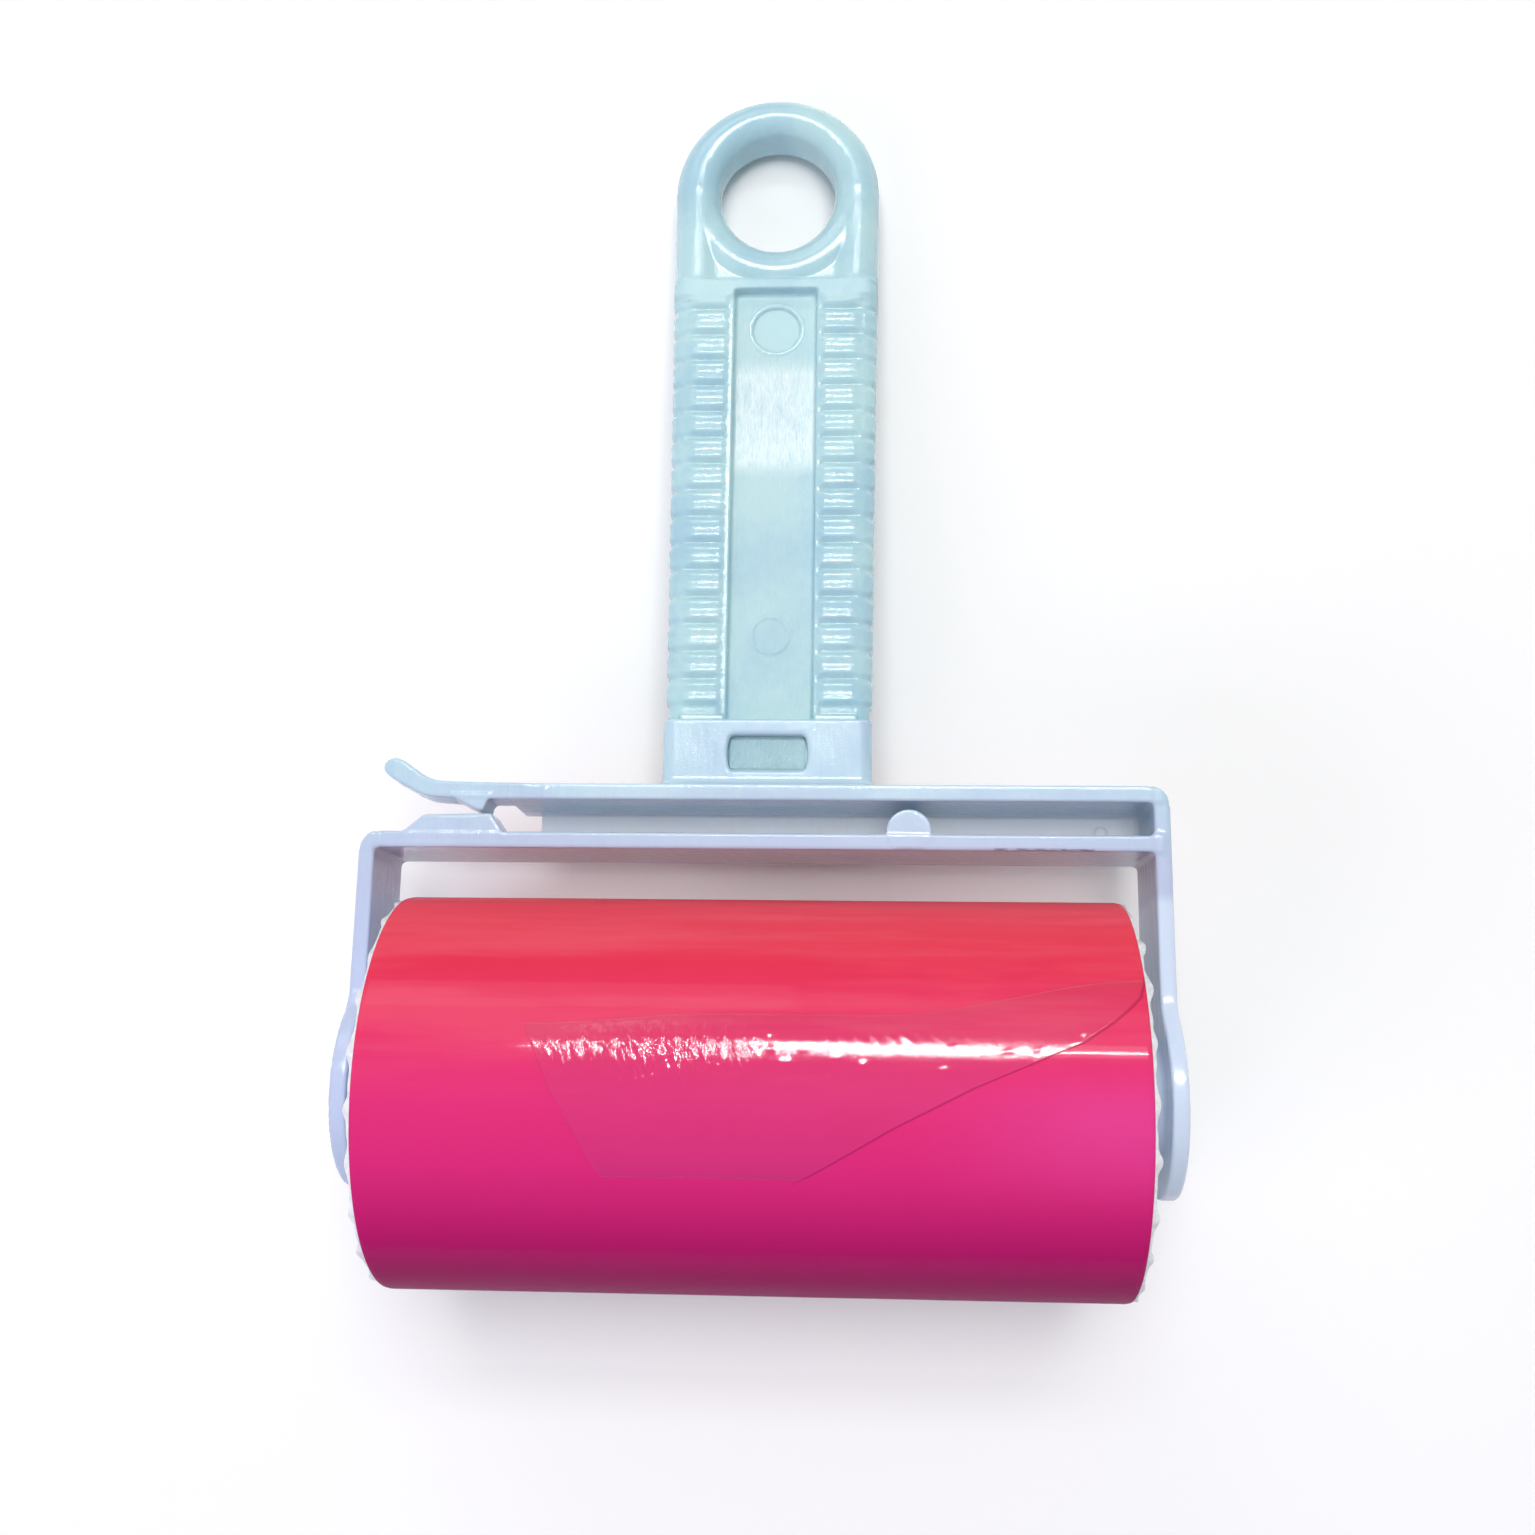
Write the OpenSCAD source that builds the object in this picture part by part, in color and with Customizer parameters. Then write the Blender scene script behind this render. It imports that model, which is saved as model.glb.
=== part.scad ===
// Lint roller with a plug-in handle, a swing-out left arm and a thumb lever.
// It lies on a table: the roll and the tip of the handle's ring touch Z = 0.
// X runs along the roll, +Y points to the hanging ring, +Z is up.
// Sizes are in millimetres.

/* [Roll] */
// Outer diameter of the roll
roll_d = 54.2; // [50:0.2:56]
// Length of the sheets and of the core
roll_len = 100; // [96:1:101]
// Inner diameter of the cardboard core
core_id = 38.1; // [37:0.1:39]
// Wall thickness of the cardboard core
core_wall = 1.5; // [1:0.1:2]
// Thickness of the glossy outer sheet
outer_sheet_t = 0.3; // [0.2:0.05:0.5]
// How far the wavy paper edges stand out past the sheet, each end
paper_proud = 0.9; // [0.3:0.1:1]

/* [Frame] */
// Width across the outsides of the two arms
frame_w = 114.1; // [113:0.1:116]
// Depth of the frame's flanges
frame_depth = 15; // [12:0.5:16]
// Wall thickness of the arms
arm_t = 2.3; // [2:0.1:2.4]
// Height of the top of the beam above the roll's axis
beam_top = 42.8; // [42:0.1:44]
// Height of the beam from its bottom to its top
beam_h = 9.3; // [9.2:0.1:10]
// Thickness of each flange of the beam
flange_t = 2.3; // [2:0.1:2.4]
// Thickness of the web that closes the back of the beam
web_t = 1.7; // [1.2:0.1:3]
// Width of the thumb lever, which uses the front part of the top flange only
lever_depth = 6.2; // [5:0.1:7]
// Radius of the round ends of the arms
arm_disc_r = 13.6; // [12:0.1:14]
// Where the two flexing flange ends bend, left of the middle
flex_root = 34.3; // [33:0.1:34.4]

/* [Handle] */
// Width of the grip at its lower end
grip_w = 30.1; // [28:0.1:31]
// Width of the grip at the ring
grip_w_top = 31.7; // [31:0.1:33]
// Thickness of the grip
grip_t = 8.8; // [8.6:0.1:9]
// Height of the hanging ring's middle above the roll's axis
ring_v = 138.3; // [136:0.1:142]
// Diameter of the hole in the hanging ring
ring_hole_d = 17.9; // [16:0.1:18.4]
// Width of the channel in the grip
channel_w = 12.4; // [12:0.1:15]
// Depth of the channel in the grip
channel_depth = 2; // [1:0.1:3]
// Number of grooves on each side of the grip
grooves = 17; // [8:1:17]
// Distance from groove to groove
groove_pitch = 4.17; // [3.8:0.01:4.2]

/* [Collar] */
// Width of the collar that the handle plugs into
collar_w = 30; // [30:0.1:32]
// Height of the collar above the beam
collar_h = 9.7; // [9.7:0.1:11]
// Depth of the collar
collar_d = 13; // [12.8:0.1:14]
// Wall thickness of the collar
collar_wall = 2; // [1.8:0.1:2]
// Width of the window in the collar
window_w = 11.4; // [11:0.1:12]
// Height of the window in the collar
window_h = 5.2; // [5:0.1:5.4]

/* [Pivots] */
// Base radius of the conical pivots on the arms
cone_r = 8.5; // [8:0.1:9]
// Length of the conical pivots
cone_l = 8.9; // [8:0.1:9]
// Slope of the conical pivots, radius lost for each millimetre
cone_slope = 0.7; // [0.68:0.01:0.72]
// Radial running clearance in the end plugs
pivot_gap = 0.08; // [0.05:0.01:0.1]

/* [Hidden] */

$fn = 96;
cx = 0.65;                                  // middle of the handle, right of the roll's middle
hd = frame_depth / 2;                       // half depth of the frame
hw = frame_w / 2;                           // half width of the frame
roll_r = roll_d / 2;
beam_bot = beam_top - beam_h;
low_top = beam_bot + flange_t;              // top face of the lower flange
top_bot = beam_top - flange_t;              // underside of the top flange
core_od = core_id + 2 * core_wall;
ring_mid_r = (grip_w_top / 2 + ring_hole_d / 2) / 2;
ring_half = (grip_w_top - ring_hole_d) / 4; // half the ring's width across
ring_x = cx + 0.15;
collar_top = beam_top + collar_h;
plug_gap = 0.1;                             // handle plug to collar
ring_flat = grip_t / 2 - ring_half;        // straight part of the ring's section
tip_drop = asin((roll_r - ring_half - ring_flat * 0.9886) / (ring_v + ring_mid_r));
y_shift = -((ring_v + grip_w_top / 2) * cos(tip_drop) - roll_r) / 2;   // origin under the middle
knuckle = flange_t / 2;                     // round ends about which the flexing parts bend
flex_end = flex_root - knuckle - 0.05;      // where the stiff part of the beam ends
ch = collar_d / 2;
edge_r = 2.8;                               // outer corners of the frame

// Places a shape drawn in the object's own plane (x across, y to the ring, z out of the front)
module lie() translate([0, y_shift, roll_r]) rotate([-tip_drop, 0, 0]) children();

// Slab between two heights, drawn as an outline in the object's plane
module slab(z0, z1) translate([0, 0, z0]) linear_extrude(z1 - z0) children();

// ---------- handle ----------

// Outline of the grip up to the ring's middle
module grip_outline(shrink = 0) {
    polygon([[cx - grip_w / 2 + shrink, collar_top + 0.2],
             [cx + grip_w / 2 - shrink, collar_top + 0.2],
             [ring_x + grip_w_top / 2 - shrink, ring_v],
             [ring_x - grip_w_top / 2 + shrink, ring_v]]);
}

module handle_grip() color([0.78, 0.90, 0.95]) lie() difference() {
    union() {
        // body of the grip in two steps that stand for its rounded edges
        slab(-grip_t / 2 + 1, grip_t / 2 - 1) difference() {
            grip_outline();
            translate([ring_x, ring_v]) circle(r = ring_mid_r);
        }
        slab(-grip_t / 2, grip_t / 2) difference() {
            grip_outline(1);
            translate([ring_x, ring_v]) circle(r = ring_mid_r + 1);
        }
        // hanging ring with a rounded section and a narrow straight band inside
        translate([ring_x, ring_v, 0]) rotate_extrude() {
            translate([ring_mid_r, ring_flat]) circle(r = ring_half);
            translate([ring_mid_r, -ring_flat]) circle(r = ring_half);
            translate([ring_mid_r - ring_half, -ring_flat]) square([2 * ring_half, 2 * ring_flat]);
            translate([ring_hole_d / 2, -1.5]) square([ring_half, 3]);
        }
        // plug that fills the collar
        slab(-ch + collar_wall + plug_gap, ch - collar_wall - plug_gap) polygon([
            [cx - collar_w / 2 + collar_wall + plug_gap, beam_top + 1],
            [cx + collar_w / 2 - collar_wall - plug_gap, beam_top + 1],
            [cx + collar_w / 2 - collar_wall - plug_gap, collar_top + 1],
            [cx - collar_w / 2 + collar_wall + plug_gap, collar_top + 1]]);
    }
    // recessed channel on the front and on the back
    for (s = [-1, 1]) translate([0, 0, s > 0 ? grip_t / 2 - channel_depth : -grip_t / 2 - 4 + channel_depth])
        linear_extrude(4) polygon([[cx - channel_w / 2, collar_top + 0.2], [cx + channel_w / 2, collar_top + 0.2],
            [cx + channel_w / 2 + 0.3, collar_top + 68.1], [cx - channel_w / 2 + 0.1, collar_top + 68.1]]);
    // finger grooves on both edges
    for (s = [-1, 1], i = [0 : grooves - 1])
        translate([cx + s * (grip_w / 2 + 0.75 + i * 0.035), collar_top + 2.5 + i * groove_pitch, -10])
            cylinder(r = 1.3, h = 20, $fn = 24);
    // pocket for the snap tongue, open to the front
    translate([cx - 6.4, beam_top + 1.6, ch - collar_wall - 3.6]) cube([12.8, 7, 8]);
}

// Flexing tongue with a catch that fills the collar's window
module snap_tongue() color([0.80, 0.91, 0.96]) lie() union() {
    translate([cx - 6.1, beam_top + 1.9, ch - collar_wall - 2.1]) cube([12.2, 6.4, 1.9]);
    translate([cx - window_w / 2 + 0.3, beam_top + 2.5, ch - collar_wall - 0.3])
        cube([window_w - 0.6, window_h - 0.6, 1.3]);
}

// ---------- frame ----------

module frame_collar() color([0.80, 0.90, 0.94]) lie() difference() {
    union() {
        translate([cx - collar_w / 2 + 2, beam_top, -ch]) cube([collar_w - 4, collar_h, collar_d]);
        translate([cx - collar_w / 2, beam_top, -ch + 2]) cube([collar_w, collar_h, collar_d - 4]);
        for (a = [-1, 1], b = [-1, 1]) translate([cx + a * (collar_w / 2 - 2), beam_top, b * (ch - 2)])
            rotate([-90, 0, 0]) cylinder(r = 2, h = collar_h, $fn = 48);
    }
    // socket for the handle's plug
    translate([cx - collar_w / 2 + collar_wall, beam_top + 0.9, -ch + collar_wall])
        cube([collar_w - 2 * collar_wall, 20, collar_d - 2 * collar_wall]);
    // window in the front wall
    translate([cx - window_w / 2, beam_top + 2.2, 0]) cube([window_w, window_h, 20]);
}

module frame_beam() color([0.74, 0.83, 0.90]) lie() union() {
    // top flange
    translate([-flex_end, top_bot, -hd]) cube([flex_end + hw - arm_t, flange_t, frame_depth]);
    // lower flange
    translate([-flex_end, beam_bot, -hd]) cube([flex_end + hw - arm_t, flange_t, frame_depth]);
    // web that closes the back
    translate([-flex_end, low_top - 0.1, -hd]) cube([flex_end + hw - arm_t, top_bot - low_top + 0.2, web_t]);
    // round post that runs from the web to the front
    intersection() {
        translate([20.8, 36.1, -hd + 0.5]) cylinder(r = 3.2, h = frame_depth - 0.6);
        translate([10, low_top - 0.2, -hd]) cube([20, top_bot - low_top + 0.4, frame_depth]);
    }
}

module right_arm() color([0.72, 0.82, 0.91]) lie() union() {
    translate([hw - arm_t, 0, 0]) arm_plate(beam_top - edge_r);
    // rounded outer corner
    intersection() {
        translate([hw - edge_r, beam_top - edge_r, -hd]) cylinder(r = edge_r, h = frame_depth);
        translate([hw - arm_t, beam_top - edge_r - 1, -hd]) cube([arm_t, edge_r + 1, frame_depth]);
    }
}

// Plate of an arm from its round end up to a given height
module arm_plate(top) union() {
    rotate([0, 90, 0]) cylinder(r = arm_disc_r, h = arm_t);
    translate([0, 0, -hd]) cube([arm_t, top, frame_depth]);
}

// Conical pivot that points along -X from the arm's inner face
module pivot_cone(gap = 0, extra = 0) rotate([0, -90, 0]) translate([0, 0, -extra])
    cylinder(r1 = cone_r + gap + extra * cone_slope, r2 = cone_r + gap - cone_l * cone_slope, h = cone_l + extra);

module right_pivot() color([0.72, 0.82, 0.91]) lie()
    translate([hw - arm_t, 0, 0]) pivot_cone();

module left_pivot() color([0.66, 0.72, 0.85]) lie()
    mirror([1, 0, 0]) translate([hw - arm_t, 0, 0]) pivot_cone();

// Left arm with the flexing end of the lower flange and its wedge
module left_arm() color([0.66, 0.72, 0.85]) lie() union() {
    translate([-hw, 0, 0]) arm_plate(low_top - edge_r);
    intersection() {
        translate([-hw + edge_r, low_top - edge_r, -hd]) cylinder(r = edge_r, h = frame_depth);
        translate([-hw, low_top - edge_r - 1, -hd]) cube([edge_r, edge_r + 1, frame_depth]);
    }
    translate([-hw + edge_r, beam_bot, -hd]) cube([hw - edge_r - flex_root, flange_t, frame_depth]);
    translate([-flex_root, beam_bot + knuckle, -hd]) cylinder(r = knuckle, h = frame_depth, $fn = 48);
    slab(hd - lever_depth - 0.3, hd) polygon([[-50.9, low_top - 0.5], [-50.9, low_top], [-48, low_top + 2.4],
        [-38.2, low_top + 2.6], [-36.3, low_top], [-36.3, low_top - 0.5]]);
}

// Thumb lever: the free end of the top flange, curled up at its tip, with a hook below
module latch_lever() color([0.80, 0.88, 0.93]) lie() union() {
    translate([-flex_root, top_bot + knuckle, hd - lever_depth]) cylinder(r = knuckle, h = lever_depth, $fn = 48);
    slab(hd - lever_depth, hd) polygon([[-flex_root, top_bot], [-flex_root, beam_top],
        [-45, beam_top + 0.2], [-46.7, beam_top + 0.4], [-48.1, beam_top + 1], [-49.6, beam_top + 2],
        [-51.1, beam_top + 3.1], [-52.6, beam_top + 3.6], [-53.8, beam_top + 3.1], [-54.2, beam_top + 2.1],
        [-53.4, beam_top + 1.1], [-51.1, beam_top - 0.3], [-49.2, beam_top - 1.4], [-47.2, beam_top - 2],
        [-43.5, top_bot + 0.2]]);
    slab(hd - lever_depth, hd) polygon([[-43.6, top_bot + 0.8], [-43.2, top_bot - 0.1], [-40.3, low_top + 3.1],
        [-39.5, low_top + 3.1], [-38.9, top_bot - 0.1], [-38.7, top_bot + 0.8]]);
}

// ---------- roll ----------

// Plug that closes one end of the core, drawn with its outer face towards -X at x = 0
module end_plug() rotate([0, 90, 0]) difference() {
    union() {
        translate([0, 0, -1]) cylinder(r = core_od / 2 - 0.2, h = 0.95);
        translate([0, 0, -0.1]) cylinder(r = core_id / 2 - 0.05, h = 12.1);
    }
    // hollow behind the face, with the boss left standing
    translate([0, 0, 1.8]) difference() {
        cylinder(r = core_id / 2 - 1.7, h = 12);
        translate([0, 0, -1]) cylinder(r = 8.6, h = 6);
        for (a = [0 : 60 : 300]) rotate([0, 0, a]) translate([0, -0.7, -1]) cube([core_id / 2, 1.4, 8]);
    }
}

// The conical socket is cut where the arm's cone enters
module end_plug_left() color([0.90, 0.92, 0.94]) lie() difference() {
    translate([-roll_len / 2, 0, 0]) end_plug();
    mirror([1, 0, 0]) translate([hw - arm_t, 0, 0]) pivot_cone(pivot_gap);
    translate([-hw + arm_t + cone_l - 0.2, 0, 0]) rotate([0, 90, 0]) cylinder(r = 1.8, h = 0.8);
}

module end_plug_right() color([0.90, 0.92, 0.94]) lie() difference() {
    mirror([1, 0, 0]) translate([-roll_len / 2, 0, 0]) end_plug();
    translate([hw - arm_t, 0, 0]) pivot_cone(pivot_gap);
    translate([hw - arm_t - cone_l + 0.2, 0, 0]) rotate([0, -90, 0]) cylinder(r = 1.8, h = 0.8);
}

module core_tube() color([0.72, 0.58, 0.42]) lie() rotate([0, 90, 0]) difference() {
    translate([0, 0, -roll_len / 2]) cylinder(d = core_od, h = roll_len);
    translate([0, 0, -roll_len]) cylinder(d = core_id, h = 2 * roll_len);
}

// Wound paper sheets; the outer turns stand a little proud at both ends
module sheet_stack() color([0.95, 0.95, 0.93]) lie() rotate([0, 90, 0]) rotate_extrude()
    polygon([[core_od / 2 + 0.05, -roll_len / 2], [core_od / 2 + 0.05, roll_len / 2],
        [roll_r - outer_sheet_t - 1.4, roll_len / 2 + 0.1],
        [roll_r - outer_sheet_t - 0.7, roll_len / 2 + paper_proud],
        [roll_r - outer_sheet_t - 0.05, roll_len / 2 + paper_proud],
        [roll_r - outer_sheet_t - 0.05, -roll_len / 2 - paper_proud],
        [roll_r - outer_sheet_t - 0.7, -roll_len / 2 - paper_proud],
        [roll_r - outer_sheet_t - 1.4, -roll_len / 2 - 0.1]]);

module outer_sheet() color([0.86, 0.22, 0.42]) lie() rotate([0, 90, 0]) difference() {
    translate([0, 0, -roll_len / 2]) cylinder(r = roll_r, h = roll_len, $fn = 180);
    translate([0, 0, -roll_len]) cylinder(r = roll_r - outer_sheet_t, h = 2 * roll_len, $fn = 180);
}

// Clear film over the start of the outer sheet
module peel_film() color([0.95, 0.55, 0.65, 0.6]) lie() intersection() {
    translate([-30, 0, 0]) rotate([0, 90, 0]) rotate([0, 0, 150]) rotate_extrude(angle = 60, $fn = 180)
        translate([roll_r + 0.02, 0]) square([0.15, 79]);
    // cut with one steep end and one long slanting end
    slab(5, 40) polygon([[-28.8, 8.2], [-24.9, 0.1], [-19.9, -8.3], [-18.2, -10.6], [7.2, -10.5],
        [17.9, -4.3], [28.2, 0.9], [38.7, 5.3], [43.6, 8], [45, 8.9], [-24, 8.8]]);
}

handle_grip();
snap_tongue();
frame_collar();
frame_beam();
right_arm();
right_pivot();
left_arm();
left_pivot();
latch_lever();
end_plug_left();
end_plug_right();
core_tube();
sheet_stack();
outer_sheet();
peel_film();
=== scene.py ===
import math

import bpy
import numpy as np
from mathutils import Matrix, Vector


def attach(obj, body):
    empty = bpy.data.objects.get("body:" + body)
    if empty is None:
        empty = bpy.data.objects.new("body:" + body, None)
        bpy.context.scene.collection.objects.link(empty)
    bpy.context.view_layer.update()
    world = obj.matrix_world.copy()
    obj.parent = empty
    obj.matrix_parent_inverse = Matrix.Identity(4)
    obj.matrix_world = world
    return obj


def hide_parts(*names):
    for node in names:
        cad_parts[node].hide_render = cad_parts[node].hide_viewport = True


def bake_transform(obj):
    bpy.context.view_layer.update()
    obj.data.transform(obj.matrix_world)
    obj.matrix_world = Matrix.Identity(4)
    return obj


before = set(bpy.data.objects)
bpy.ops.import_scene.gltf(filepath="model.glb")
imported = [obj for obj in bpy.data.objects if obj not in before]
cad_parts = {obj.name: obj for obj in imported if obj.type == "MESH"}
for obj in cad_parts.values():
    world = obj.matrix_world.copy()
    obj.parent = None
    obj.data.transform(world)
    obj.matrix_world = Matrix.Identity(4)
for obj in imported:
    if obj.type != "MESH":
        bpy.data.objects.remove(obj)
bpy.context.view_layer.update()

rng = np.random.default_rng(11)
scene = bpy.context.scene

# ------------------------------------------------------------------ the object's own plane, in millimetres
ROLL_R = 27.1
RING_V, RING_W, RING_HOLE, GRIP_T = 138.3, 31.7, 17.9, 8.8
RING_MID = (RING_W / 2 + RING_HOLE / 2) / 2
RING_HALF = (RING_W - RING_HOLE) / 4
TILT = math.asin((ROLL_R - RING_HALF - (GRIP_T / 2 - RING_HALF) * 0.9886) / (RING_V + RING_MID))
CT, ST = math.cos(TILT), math.sin(TILT)
YS = -((RING_V + RING_W / 2) * CT - ROLL_R) / 2
ROT = np.array([[1, 0, 0], [0, CT, ST], [0, -ST, CT]])
OFF = np.array([0, YS, ROLL_R])


def row(p):
    """Points of the object's plane (u, v, w in mm) in the row frame, in metres."""
    return (np.asarray(p, float) @ ROT.T + OFF) / 1000.0


def rowd(p):
    return np.asarray(p, float) @ ROT.T


# ------------------------------------------------------------------ camera, at the photo's viewing angle
def make_camera():
    cam = bpy.data.cameras.new("camera")
    cam.sensor_width = 36.0
    cam.sensor_fit = "HORIZONTAL"
    cam.lens = 36.0 * 1616.504 / 1535.0
    cam.clip_start, cam.clip_end = 0.01, 20
    ob = bpy.data.objects.new("camera", cam)
    scene.collection.objects.link(ob)
    right = rowd([0.998674, 0.014753, -0.049321])
    up = -rowd([0.004353, -0.978828, -0.204636])
    fwd = rowd([-0.051296, 0.20415, -0.977595])
    m = Matrix([[right[i], up[i], -fwd[i], 0] for i in range(3)] + [[0, 0, 0, 1]])
    m.translation = Vector(row([12.5937, -1.5244, 231.0101]))
    ob.matrix_world = m
    scene.camera = ob


make_camera()

# ------------------------------------------------------------------ mesh tools


def mesh_object(name, verts_mm, quads, normals=None, smooth=True, attrs=True):
    verts_mm = np.asarray(verts_mm, float)
    quads = np.asarray(quads, np.int32)
    me = bpy.data.meshes.new(name)
    n, k = quads.shape
    me.vertices.add(len(verts_mm))
    me.vertices.foreach_set("co", row(verts_mm).astype(np.float32).ravel())
    me.loops.add(n * k)
    me.loops.foreach_set("vertex_index", quads.ravel())
    me.polygons.add(n)
    me.polygons.foreach_set("loop_start", np.arange(0, n * k, k, dtype=np.int32))
    me.polygons.foreach_set("loop_total", np.full(n, k, dtype=np.int32))
    me.polygons.foreach_set("use_smooth", np.full(n, smooth, dtype=bool))
    me.update(calc_edges=True)
    me.validate()
    if attrs:
        a = me.attributes.new("pl", "FLOAT_VECTOR", "POINT")
        a.data.foreach_set("vector", verts_mm.astype(np.float32).ravel())
    if normals is not None:
        me.normals_split_custom_set_from_vertices([Vector(x) for x in rowd(normals)])
    ob = bpy.data.objects.new(name, me)
    scene.collection.objects.link(ob)
    return ob


def length(*c):
    s = 0
    for x in c:
        s = s + x * x
    return np.sqrt(s)


def rbox2(x, y, cx, cy, hx, hy, r):
    qx, qy = np.abs(x - cx) - (hx - r), np.abs(y - cy) - (hy - r)
    return length(np.maximum(qx, 0), np.maximum(qy, 0)) + np.minimum(np.maximum(qx, qy), 0) - r


def rbox(x, y, z, lo, hi, r):
    q = []
    for p, a, b in zip((x, y, z), lo, hi):
        q.append(np.abs(p - (a + b) / 2) - ((b - a) / 2 - r))
    out = length(*[np.maximum(t, 0) for t in q])
    return out + np.minimum(np.maximum(np.maximum(q[0], q[1]), q[2]), 0) - r


def extrude(d2, z, z0, z1, r):
    """Slab with rounded edges from a 2D distance."""
    a, b = d2 + r, np.abs(z - (z0 + z1) / 2) - ((z1 - z0) / 2 - r)
    return length(np.maximum(a, 0), np.maximum(b, 0)) + np.minimum(np.maximum(a, b), 0) - r


def smin(a, b, k):
    h = np.maximum(k - np.abs(a - b), 0) / k
    return np.minimum(a, b) - h * h * k * 0.25


def smax(a, b, k):
    return -smin(-a, -b, k)


def poly2(x, y, pts):
    """Signed distance to a polygon, negative inside."""
    pts = np.asarray(pts, float)
    x, y = np.broadcast_arrays(x, y)
    d = np.full(x.shape, 1e9)
    s = np.ones(x.shape)
    n = len(pts)
    for i in range(n):
        j = (i - 1) % n
        ex, ey = pts[j] - pts[i]
        wx, wy = x - pts[i, 0], y - pts[i, 1]
        t = np.clip((wx * ex + wy * ey) / (ex * ex + ey * ey), 0, 1)
        bx, by = wx - ex * t, wy - ey * t
        d = np.minimum(d, bx * bx + by * by)
        c1, c2, c3 = y >= pts[i, 1], y < pts[j, 1], ex * wy > ey * wx
        flip = (c1 & c2 & c3) | (~c1 & ~c2 & ~c3)
        s = np.where(flip, -s, s)
    return s * np.sqrt(d)


def smooth_closed(pts, turns=2):
    """Round a polygon a little by cutting its corners."""
    pts = np.asarray(pts, float)
    for _ in range(turns):
        nxt = np.roll(pts, -1, axis=0)
        pts = np.stack([pts * 0.78 + nxt * 0.22, pts * 0.22 + nxt * 0.78], 1).reshape(-1, 2)
    return pts


def gradient(f, p, e=0.02):
    g = np.zeros_like(p)
    for i in range(3):
        a, b = p.copy(), p.copy()
        a[:, i] += e
        b[:, i] -= e
        g[:, i] = (f(a[:, 0], a[:, 1], a[:, 2]) - f(b[:, 0], b[:, 1], b[:, 2])) / (2 * e)
    return g


def surface(f, lo, hi, h, steps=5):
    """Quad mesh of f = 0 by surface nets, with the points then moved onto the surface."""
    lo, hi = np.array(lo, float), np.array(hi, float)
    n = np.ceil((hi - lo) / h).astype(int) + 1
    ax = [lo[i] + h * np.arange(n[i]) for i in range(3)]
    F = f(ax[0][:, None, None], ax[1][None, :, None], ax[2][None, None, :])
    F = np.broadcast_to(F, tuple(n)).astype(np.float32)
    S = F < 0
    nx, ny, nz = n
    cells = (nx - 1, ny - 1, nz - 1)
    acc = np.zeros(cells + (3,), np.float32)
    cnt = np.zeros(cells, np.float32)
    for a in range(3):
        b, c = [i for i in range(3) if i != a]
        s0, s1 = [slice(None)] * 3, [slice(None)] * 3
        s0[a], s1[a] = slice(0, n[a] - 1), slice(1, n[a])
        f0, f1 = F[tuple(s0)], F[tuple(s1)]
        cross = S[tuple(s0)] != S[tuple(s1)]
        with np.errstate(divide="ignore", invalid="ignore"):
            t = np.where(cross, f0 / (f0 - f1), 0)
        for ob_ in (0, 1):
            for oc in (0, 1):
                sl = [slice(None)] * 3
                sl[a] = slice(0, n[a] - 1)
                sl[b] = slice(ob_, ob_ + n[b] - 1)
                sl[c] = slice(oc, oc + n[c] - 1)
                cr = cross[tuple(sl)]
                tt = t[tuple(sl)]
                acc[..., a] += np.where(cr, tt, 0)
                acc[..., b] += np.where(cr, ob_, 0)
                acc[..., c] += np.where(cr, oc, 0)
                cnt += cr
    active = cnt > 0
    idx = np.full(cells, -1, np.int32)
    idx[active] = np.arange(active.sum())
    ijk = np.argwhere(active)
    P = lo + h * (ijk + acc[active] / cnt[active][:, None])
    quads = []
    for a in range(3):
        b, c = (a + 1) % 3, (a + 2) % 3
        s0, s1 = [slice(None)] * 3, [slice(None)] * 3
        s0[a], s1[a] = slice(0, n[a] - 1), slice(1, n[a])
        for d in (b, c):
            s0[d] = s1[d] = slice(1, n[d] - 1)
        A, B = S[tuple(s0)], S[tuple(s1)]
        for inside_first in (True, False):
            e = np.argwhere(A & ~B if inside_first else ~A & B)
            if not len(e):
                continue
            e = e.copy()
            e[:, b] += 1
            e[:, c] += 1
            q = []
            for db, dc in ((-1, -1), (0, -1), (0, 0), (-1, 0)):
                t = e.copy()
                t[:, b] += db
                t[:, c] += dc
                q.append(idx[t[:, 0], t[:, 1], t[:, 2]])
            q = np.stack(q, 1)
            quads.append(q if inside_first else q[:, ::-1])
    Q = np.concatenate(quads)
    Q = Q[(Q >= 0).all(1)]
    for _ in range(steps):
        v = f(P[:, 0], P[:, 1], P[:, 2])
        g = gradient(f, P)
        g2 = np.maximum((g * g).sum(1), 0.05)
        step = -(v / g2)[:, None] * g
        m = np.maximum(np.linalg.norm(step, axis=1) / (0.35 * h), 1)
        P = P + step / m[:, None]
    g = gradient(f, P, 0.05)
    N = g / np.maximum(np.linalg.norm(g, axis=1), 1e-9)[:, None]
    return P, Q, N


def split_mesh(P, Q, N, labels):
    """Parts of a mesh by face label, with shared border points kept exactly alike."""
    out = []
    for lab in range(labels.max() + 1):
        q = Q[labels == lab]
        used, inv = np.unique(q.ravel(), return_inverse=True)
        out.append((P[used], inv.reshape(q.shape), N[used]))
    return out


def smoothstep(x, a, b):
    t = np.clip((x - a) / (b - a), 0, 1)
    return t * t * (3 - 2 * t)


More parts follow.
